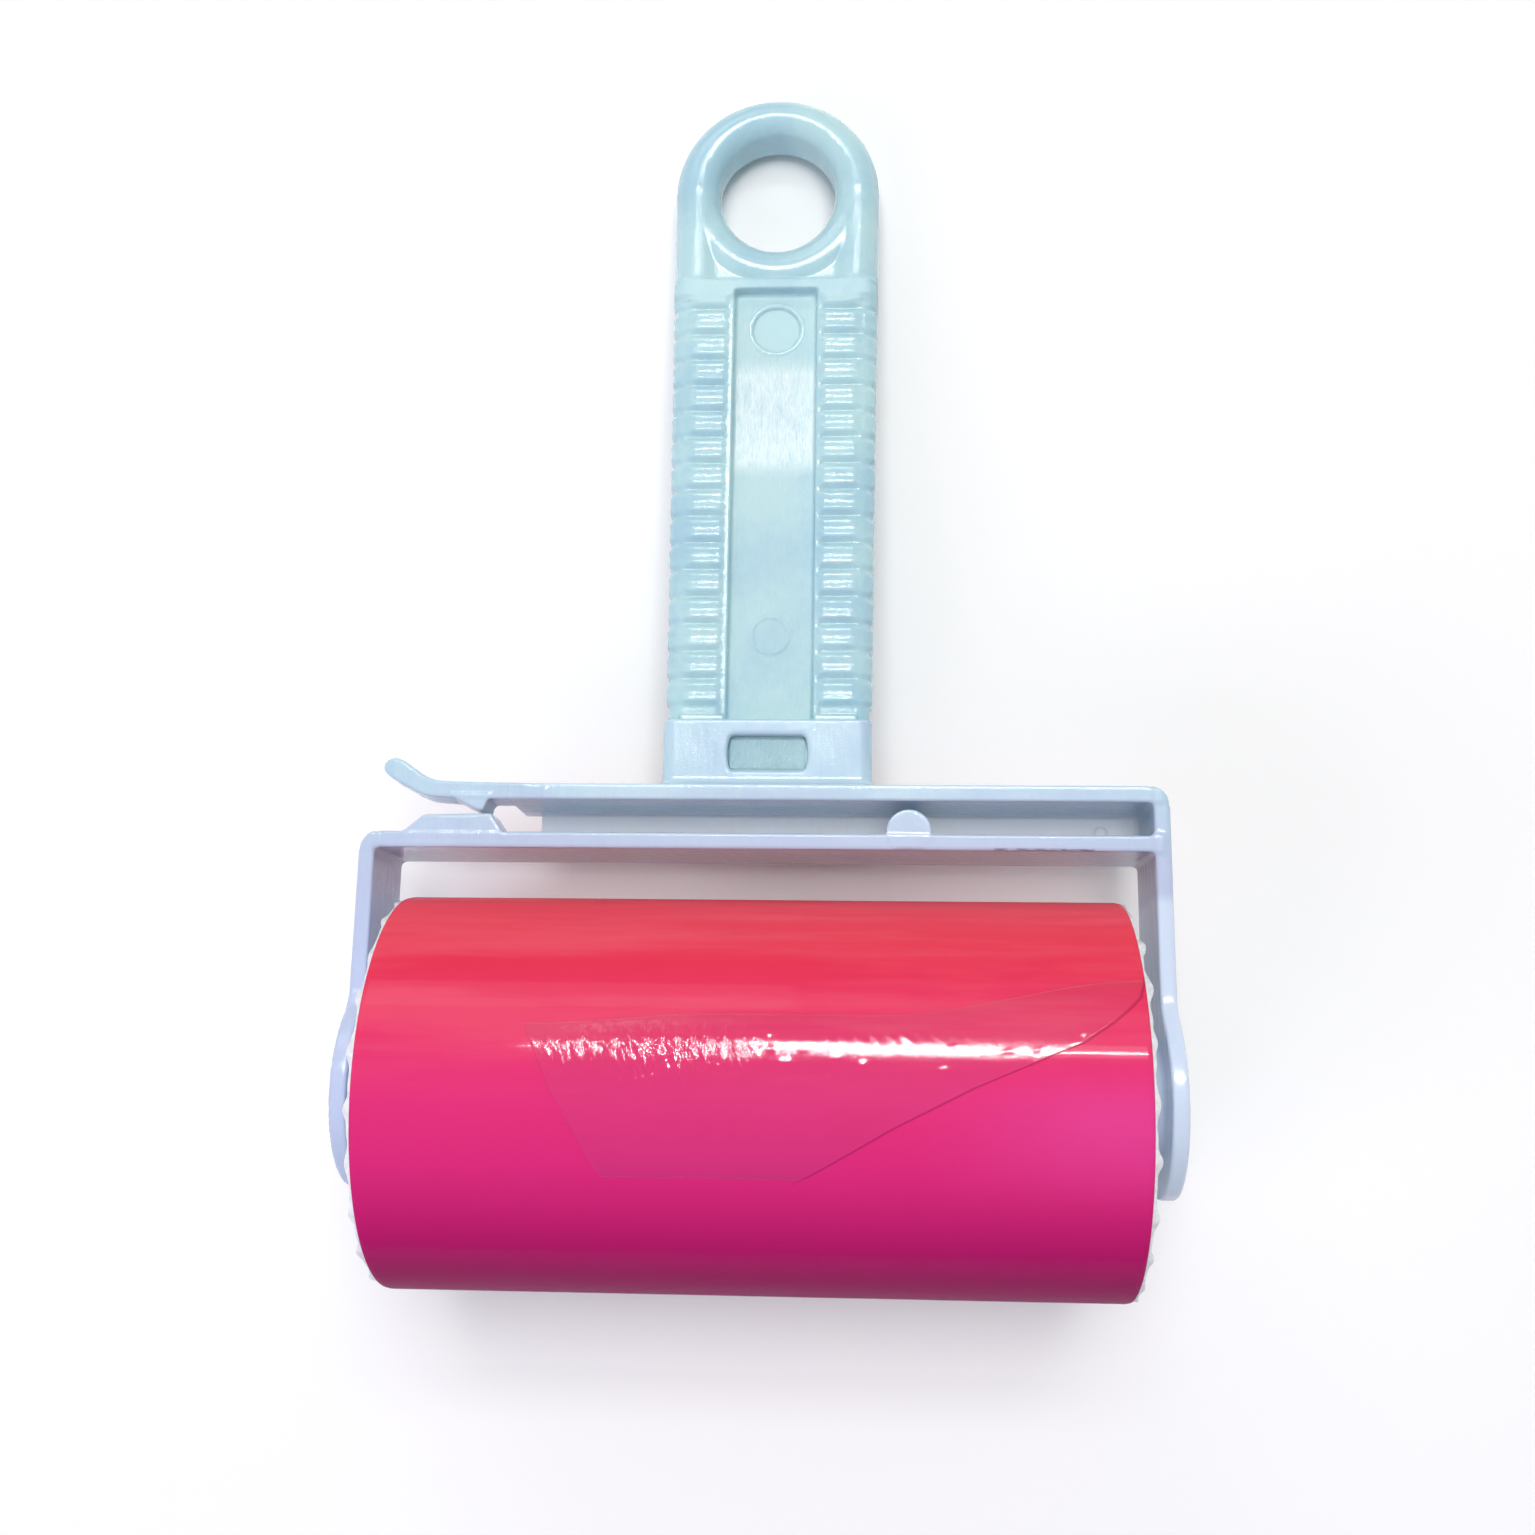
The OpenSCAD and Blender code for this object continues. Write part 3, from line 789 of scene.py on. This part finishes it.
def plastic(name, light, deep, brushed=False, sss=0.4, depth=0.0014, scuff_and_painted_light=False):
    m, nt, b = new_mat(name)
    vec, u, v, w = plane_coords(nt)
    big = noise(nt, vec, 0.055, 2.0, 0.5)
    small = noise(nt, vec, 0.5, 3.0, 0.6)
    mixf = math_node(nt, "ADD", math_node(nt, "MULTIPLY", big, 0.8), math_node(nt, "MULTIPLY", small, 0.2))
    col = ramp(nt, mixf, [(0.38, deep), (0.62, light)], "EASE")
    if scuff_and_painted_light:
        # the mould's lower and outer parts are painted lavender, fading out between v 28 and 47: painted reflected
        # light of the roll and the violet fill; the collar keeps the handle's tint; the thin recessed web is painted
        # paler, painted light in the recess
        hgt = nt.nodes.new("ShaderNodeMapRange")
        hgt.interpolation_type = "SMOOTHSTEP"
        hgt.inputs[1].default_value, hgt.inputs[2].default_value = 28.0, 47.0
        link(nt, v, hgt.inputs[0])
        col = mix_col(nt, hgt.outputs[0], srgb(186, 197, 224), col)
        web = box_mask(nt, (v, w), (LT - 0.2, None), (TB + 0.2, -4.0), 1.5)
        col = mix_col(nt, math_node(nt, "MULTIPLY", web, 0.85), col, srgb(240, 242, 246))
        # the right arm's lower end is painted paler blue: painted light on its inner face
        arm = box_mask(nt, (u, v), (50.0, None), (None, 27.0), 2.0)
        col = mix_col(nt, math_node(nt, "MULTIPLY", arm, 0.5), col, srgb(226, 240, 255))
        # faint dark scuff along the lower flange's edge
        nz = noise(nt, scaled(nt, vec, (0.4, 6.0, 1.0)), 1.4, 3.0, 0.6)
        line = box_mask(nt, (u, v, w), (32.5, BB + 0.02, 6.6), (46.5, BB + 0.34, None), 0.14)
        line = math_node(nt, "MULTIPLY", line, math_node(nt, "GREATER_THAN", nz, 0.46))
        col = mix_col(nt, math_node(nt, "MULTIPLY", line, 0.6), col, srgb(92, 78, 104))
    link(nt, col, b.inputs["Base Color"])
    b.inputs["Subsurface Weight"].default_value = sss
    b.inputs["Subsurface Radius"].default_value = (0.75, 0.95, 1.2)
    b.inputs["Subsurface Scale"].default_value = depth
    b.inputs["IOR"].default_value = 1.5
    b.inputs["Specular IOR Level"].default_value = 0.5
    # fine moulding grain, long flow lines, and light scuffs
    grain = noise(nt, vec, 5.0, 2.0, 0.5)
    flow = noise(nt, scaled(nt, vec, (0.55, 0.10, 0.55)), 1.2, 2.0, 0.5)
    scuff = noise(nt, scaled(nt, vec, (2.2, 0.4, 2.2), (0, 0, 0.55)), 1.6, 4.0, 0.7)
    rough = math_node(nt, "MULTIPLY_ADD", scuff, 0.18, 0.07)
    h = math_node(nt, "ADD", math_node(nt, "MULTIPLY", grain, 0.22), math_node(nt, "MULTIPLY", flow, 1.0))
    n1 = bump(nt, h, 0.35, 0.0003)
    if brushed:
        # the channel's floor and the catch carry fine slanted tool marks, the ejector disc is smooth
        marks = noise(nt, scaled(nt, vec, (3.6, 0.62, 1.0), (0, 0, -0.45)), 1.0, 3.0, 0.7)
        aw = math_node(nt, "ABSOLUTE", w)
        mask = box_mask(nt, (u, v, aw), (-5.2, 53.0, None), (6.9, 119.2, 3.0), 1.4)
        du = math_node(nt, "SUBTRACT", u, 1.0)
        dv = math_node(nt, "SUBTRACT", v, 114.7)
        rd = math_node(nt, "SQRT", math_node(nt, "ADD", math_node(nt, "MULTIPLY", du, du), math_node(nt, "MULTIPLY", dv, dv)))
        mask = math_node(nt, "MULTIPLY", mask, math_node(nt, "GREATER_THAN", rd, 4.3))
        patch = noise(nt, vec, 0.045, 2.0, 0.5)
        gain = math_node(nt, "MULTIPLY", mask, math_node(nt, "MULTIPLY_ADD", patch, 0.9, 0.25))
        hm = math_node(nt, "MULTIPLY", marks, gain)
        n1 = bump(nt, hm, 0.6, 0.0004, n1)
        rough = math_node(nt, "ADD", rough, math_node(nt, "MULTIPLY", mask, 0.12))
        disc = math_node(nt, "LESS_THAN", rd, 3.9)
        rough = math_node(nt, "ADD", rough, math_node(nt, "MULTIPLY", disc, 0.45))
        # a band across the channel floor from v 92 to 108.5 is smoother and gets the strongest painted glint
        painted_glint_band = box_mask(nt, (v,), (92.0,), (108.5,), 4.0)
        gainp = math_node(nt, "MULTIPLY_ADD", painted_glint_band, 1.05, 0.15)
        dull = math_node(nt, "MULTIPLY", mask, math_node(nt, "SUBTRACT", 1.0, painted_glint_band))
        rough = math_node(nt, "ADD", rough, math_node(nt, "MULTIPLY", dull, 0.30))
        head = box_mask(nt, (v,), (118.2,), (123.0,), 0.8)
        rough = math_node(nt, "ADD", rough, math_node(nt, "MULTIPLY", head, 0.35))
        # the pads of the ribs are slightly uneven, so their glints break up
        pads = box_mask(nt, (v, aw), (54.0, 3.6), (118.0, None), 0.6)
        dent = noise(nt, scaled(nt, vec, (1.0, 1.5, 1.0)), 0.95, 3.0, 0.6)
        n1 = bump(nt, math_node(nt, "MULTIPLY", dent, pads), 0.22, 0.0003, n1)
        # the tool marks are painted paler, most in that band: painted glint of the key light on the floor
        pale = math_node(nt, "MULTIPLY", math_node(nt, "MULTIPLY", mask, gainp), math_node(nt, "MULTIPLY_ADD", marks, 1.5, -0.35))
        col = mix_col(nt, pale, col, srgb(236, 246, 244))
        link(nt, col, b.inputs["Base Color"])
        catch = box_mask(nt, (u, v, w), (CX - 5.4, WIN_V - 2.3, 4.6), (CX + 5.4, WIN_V + 2.3, None), 0.4)
        cm = noise(nt, scaled(nt, vec, (2.6, 0.7, 1.0), (0, 0, -0.5)), 1.0, 3.0, 0.7)
        n1 = bump(nt, math_node(nt, "MULTIPLY", cm, catch), 0.9, 0.0006, n1)
    link(nt, rough, b.inputs["Roughness"])
    link(nt, n1, b.inputs["Normal"])
    return m


BLUE_L, BLUE_D = srgb(184, 217, 221), srgb(168, 204, 216)
m_handle = plastic("pale_blue_handle", BLUE_L, BLUE_D, True)
m_frame = plastic("pale_blue_frame", srgb(188, 217, 229), srgb(178, 205, 223), False, 0.25, 0.0006, True)


def wrap_material(name, is_film=False):
    m, nt, b = new_mat(name)
    vec, u, v, w = plane_coords(nt)
    ang = math_node(nt, "ARCTAN2", v, w)          # radians, 0 at the front, + towards the handle
    f = math_node(nt, "MULTIPLY_ADD", ang, 1 / (2 * math.pi), 0.5)
    # colour by angle round the roll: coral-red on top, magenta at the front, dark purple underneath; the darkening
    # towards the bottom is painted shade, and the lighter stop about 68 degrees up is a painted reflection
    stops = [(0.0, srgb(150, 20, 84)), (0.25, srgb(126, 10, 82)), (0.335, srgb(150, 12, 88)), (0.39, srgb(190, 28, 108)),
             (0.44, srgb(214, 42, 120)), (0.50, srgb(222, 52, 118)), (0.545, srgb(226, 58, 104)), (0.60, srgb(224, 54, 82)),
             (0.64, srgb(226, 62, 80)), (0.69, srgb(238, 84, 98)), (0.75, srgb(228, 66, 80)), (1.0, srgb(150, 20, 84))]
    col = ramp(nt, f, stops)
    cyl_v = nt.nodes.new("ShaderNodeCombineXYZ")
    link(nt, math_node(nt, "MULTIPLY", u, 0.0035), cyl_v.inputs[0])
    link(nt, math_node(nt, "MULTIPLY", math_node(nt, "SINE", ang), 1.0), cyl_v.inputs[1])
    link(nt, math_node(nt, "MULTIPLY", math_node(nt, "COSINE", ang), 1.0), cyl_v.inputs[2])
    # paler pink streaks running along the roll, kept to its upper front by front_part: painted sheen
    painted_sheen_streak = noise(nt, cyl_v.outputs[0], 4.5, 4.0, 0.6)
    mott = noise(nt, vec, 0.16, 3.0, 0.5)
    painted_sheen_streak = ramp(nt, painted_sheen_streak, [(0.42, (0, 0, 0)), (0.66, (1, 1, 1))], "EASE")
    front_part = ramp(nt, f, [(0.49, (0, 0, 0)), (0.545, (1, 1, 1)), (0.74, (1, 1, 1)), (0.84, (0, 0, 0))])
    col = mix_col(nt, math_node(nt, "MULTIPLY", math_node(nt, "MULTIPLY", painted_sheen_streak, front_part), 0.30), col, srgb(238, 106, 124), "MIX")
    col = mix_col(nt, math_node(nt, "MULTIPLY", mott, 0.12), col, srgb(180, 26, 84), "MIX")
    # the right end of the front leans to violet-pink
    vio = nt.nodes.new("ShaderNodeMapRange")
    vio.interpolation_type = "SMOOTHSTEP"
    vio.inputs[1].default_value, vio.inputs[2].default_value = 18.0, 47.0
    link(nt, u, vio.inputs[0])
    mid_part = ramp(nt, f, [(0.40, (0, 0, 0)), (0.48, (1, 1, 1)), (0.53, (0, 0, 0))], "EASE")
    col = mix_col(nt, math_node(nt, "MULTIPLY", math_node(nt, "MULTIPLY", vio.outputs[0], mid_part), 0.28), col, srgb(228, 88, 178))
    # slanting cut
    sa = node(nt, "ShaderNodeAttribute", attribute_name="seam")
    sd = math_node(nt, "ABSOLUTE", sa.outputs["Fac"])
    cut = nt.nodes.new("ShaderNodeMapRange")
    cut.interpolation_type = "SMOOTHSTEP"
    cut.inputs[1].default_value, cut.inputs[2].default_value = 0.32, 0.06
    link(nt, sd, cut.inputs[0])
    reach = box_mask(nt, (ang,), (-0.42,), (0.60,), 0.06)
    col = mix_col(nt, math_node(nt, "MULTIPLY", math_node(nt, "MULTIPLY", cut.outputs[0], reach), 0.38), col, srgb(120, 14, 60))
    link(nt, col, b.inputs["Base Color"])
    b.inputs["IOR"].default_value = 1.5
    b.inputs["Specular IOR Level"].default_value = 0.0
    b.inputs["Coat Weight"].default_value = 0.17
    b.inputs["Coat Roughness"].default_value = 0.05
    b.inputs["Coat IOR"].default_value = 1.5
    b.inputs["Subsurface Weight"].default_value = 0.12
    b.inputs["Subsurface Radius"].default_value = (1.0, 0.3, 0.4)
    b.inputs["Subsurface Scale"].default_value = 0.0008
    rough = math_node(nt, "MULTIPLY_ADD", noise(nt, vec, 0.5, 4.0, 0.6), 0.10, 0.28)
    link(nt, rough, b.inputs["Roughness"])
    # very shallow winding lines and a fine orange peel
    fine = noise(nt, cyl_v.outputs[0], 14.0, 2.0, 0.5)
    link(nt, bump(nt, fine, 0.04, 0.0001), b.inputs["Normal"])
    if is_film:
        b.inputs["Coat Weight"].default_value = 0.9
        scr = noise(nt, scaled(nt, vec, (5.5, 1.2, 1.2), (0, 0, -0.35)), 1.0, 3.0, 0.7)
        # the left part of the film is creased in fine slanting lines that scatter the highlight
        crease_u = box_mask(nt, (u,), (-25.0,), (1.0,), 5.0)
        crease_a = box_mask(nt, (ang,), (0.02,), (0.30,), 0.10)
        fine_lines = noise(nt, scaled(nt, vec, (2.6, 0.55, 0.55), (0, 0, -0.6)), 1.0, 2.0, 0.6)
        crease = math_node(nt, "MULTIPLY", math_node(nt, "MULTIPLY", crease_u, crease_a), fine_lines)
        n_film = bump(nt, scr, 0.12, 0.0002)
        link(nt, bump(nt, crease, 0.32, 0.0004, n_film), b.inputs["Coat Normal"])
    return m


m_wrap = wrap_material("gloss_wrap")
m_film = wrap_material("gloss_film", True)


def paper_material():
    m, nt, b = new_mat("white_paper")
    vec, u, v, w = plane_coords(nt)
    n1 = noise(nt, vec, 1.2, 4.0, 0.6)
    n2 = noise(nt, vec, 12.0, 3.0, 0.6)
    col = ramp(nt, n1, [(0.3, srgb(224, 226, 232)), (0.7, srgb(250, 250, 252))])
    r = math_node(nt, "SQRT", math_node(nt, "ADD", math_node(nt, "MULTIPLY", v, v), math_node(nt, "MULTIPLY", w, w)))
    turn = math_node(nt, "SINE", math_node(nt, "MULTIPLY", r, 2 * math.pi / 0.21))
    turn = math_node(nt, "MULTIPLY_ADD", turn, 0.5, 0.5)
    inner = math_node(nt, "LESS_THAN", r, 26.0)
    col = mix_col(nt, math_node(nt, "MULTIPLY", math_node(nt, "MULTIPLY", turn, inner), 0.35), col, srgb(196, 196, 204))
    link(nt, col, b.inputs["Base Color"])
    b.inputs["Subsurface Weight"].default_value = 0.25
    b.inputs["Subsurface Scale"].default_value = 0.001
    b.inputs["Roughness"].default_value = 0.72
    h = math_node(nt, "ADD", math_node(nt, "MULTIPLY", turn, 0.5), math_node(nt, "MULTIPLY", n2, 0.6))
    link(nt, bump(nt, h, 0.35, 0.0002), b.inputs["Normal"])
    return m


def board_material():
    m, nt, b = new_mat("core_board_paper")
    tc = node(nt, "ShaderNodeTexCoord")
    obj = tc.outputs["Object"]
    n1 = noise(nt, obj, 260.0, 4.0, 0.65)
    n2 = noise(nt, scaled(nt, obj, (1.0, 0.15, 0.15)), 2600.0, 3.0, 0.6)
    col = ramp(nt, n1, [(0.3, srgb(150, 124, 92)), (0.7, srgb(190, 164, 128))])
    col = mix_col(nt, math_node(nt, "MULTIPLY", n2, 0.4), col, srgb(120, 96, 70))
    link(nt, col, b.inputs["Base Color"])
    b.inputs["Roughness"].default_value = 0.86
    link(nt, bump(nt, n2, 0.5, 0.0002), b.inputs["Normal"])
    return m


def plug_material():
    m, nt, b = new_mat("white_plug")
    vec, u, v, w = plane_coords(nt)
    n1 = noise(nt, vec, 0.35, 4.0, 0.6)
    g = noise(nt, vec, 9.0, 2.0, 0.5)
    col = ramp(nt, n1, [(0.3, srgb(214, 222, 232)), (0.7, srgb(236, 240, 246))])
    link(nt, col, b.inputs["Base Color"])
    b.inputs["Subsurface Weight"].default_value = 0.3
    b.inputs["Subsurface Scale"].default_value = 0.0015
    link(nt, math_node(nt, "MULTIPLY_ADD", n1, 0.2, 0.32), b.inputs["Roughness"])
    link(nt, bump(nt, g, 0.25, 0.00015), b.inputs["Normal"])
    return m


m_paper, m_board, m_plug = paper_material(), board_material(), plug_material()


def dress(ob, mat):
    ob.data.materials.clear()
    ob.data.materials.append(mat)


for ob in (frame_body, left_arm, lever):
    dress(ob, m_frame)
for ob in (handle, tongue):
    dress(ob, m_handle)
dress(wrap, m_wrap)
dress(film, m_film)
dress(paper, m_paper)
for ob in (plug_l, plug_r):
    dress(ob, m_plug)

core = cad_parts["core_tube"]
core.data.materials.clear()
core.data.materials.append(m_board)

# ------------------------------------------------------------------ bodies
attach(frame_body, "frame")
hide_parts("frame_beam", "frame_collar", "right_arm", "right_pivot")
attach(handle, "frame")
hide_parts("handle_grip")
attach(tongue, "tongue")
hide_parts("snap_tongue")
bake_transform(left_arm)
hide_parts("left_arm", "left_pivot")
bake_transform(lever)
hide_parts("latch_lever")
for ob, nodes in ((wrap, ["outer_sheet"]), (film, ["peel_film"]), (paper, ["sheet_stack"]),
                  (plug_l, ["end_plug_left"]), (plug_r, ["end_plug_right"])):
    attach(ob, "roll")
    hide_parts(*nodes)

# ------------------------------------------------------------------ floor and light


def stage_floor():
    me = bpy.data.meshes.new("floor")
    s = 1.6
    me.from_pydata([(-s, -s, -0.0002), (s, -s, -0.0002), (s, s, -0.0002), (-s, s, -0.0002)], [], [(0, 1, 2, 3)])
    ob = bpy.data.objects.new("floor", me)
    scene.collection.objects.link(ob)
    m, nt, b = new_mat("floor_white")
    b.inputs["Base Color"].default_value = (0.93, 0.93, 0.93, 1)
    b.inputs["Roughness"].default_value = 0.9
    b.inputs["Specular IOR Level"].default_value = 0.1
    me.materials.append(m)


def area(name, direction, dist, size_x, size_y, power, color, target=(0, 0.0, 0.02)):
    d = Vector(direction).normalized()
    li = bpy.data.lights.new(name, "AREA")
    li.shape = "RECTANGLE"
    li.size, li.size_y = size_x, size_y
    li.energy = power
    li.color = color
    ob = bpy.data.objects.new(name, li)
    scene.collection.objects.link(ob)
    loc = Vector(target) + d * dist
    z = d
    x = Vector((1, 0, 0))
    y = z.cross(x).normalized()
    x = y.cross(z).normalized()
    ob.matrix_world = Matrix(((x[0], y[0], z[0], loc[0]), (x[1], y[1], z[1], loc[1]), (x[2], y[2], z[2], loc[2]), (0, 0, 0, 1)))
    return ob


stage_floor()
roll_pos = tuple(row([0, 0, 0]))
key = area("key", rowd([0.06, math.sin(math.radians(25.0)), math.cos(math.radians(25.0))]), 2.4, 1.3, 0.30, 10.4, (1.0, 0.985, 0.96), roll_pos)
front = area("front", rowd([0.05, 0.10, 1.0]), 1.1, 0.5, 0.5, 6.9, (1.0, 0.99, 0.98), roll_pos)
front.visible_glossy = False
top = area("top", rowd([-0.25, 0.80, 0.55]), 1.1, 0.5, 0.3, 1.2, (1.0, 0.98, 0.95), roll_pos)
tube = area("tube", rowd([0.06, math.sin(math.radians(24.4)), math.cos(math.radians(24.4))]), 2.4, 1.3, 0.045, 30.0, (1.0, 0.99, 0.97), roll_pos)
tube.visible_diffuse = False
fill = area("fill", rowd([-0.65, -0.62, 0.45]), 1.0, 0.6, 0.6, 3.0, (0.80, 0.76, 1.0), roll_pos)
fill.visible_glossy = False

world = bpy.data.worlds.new("studio")
world.use_nodes = True
scene.world = world
bg = world.node_tree.nodes.get("Background")
bg.inputs[0].default_value = (0.93, 0.96, 1.0, 1)
bg.inputs[1].default_value = 0.31
scene.view_settings.view_transform = "Standard"
scene.view_settings.look = "None"
scene.view_settings.exposure = 0.0
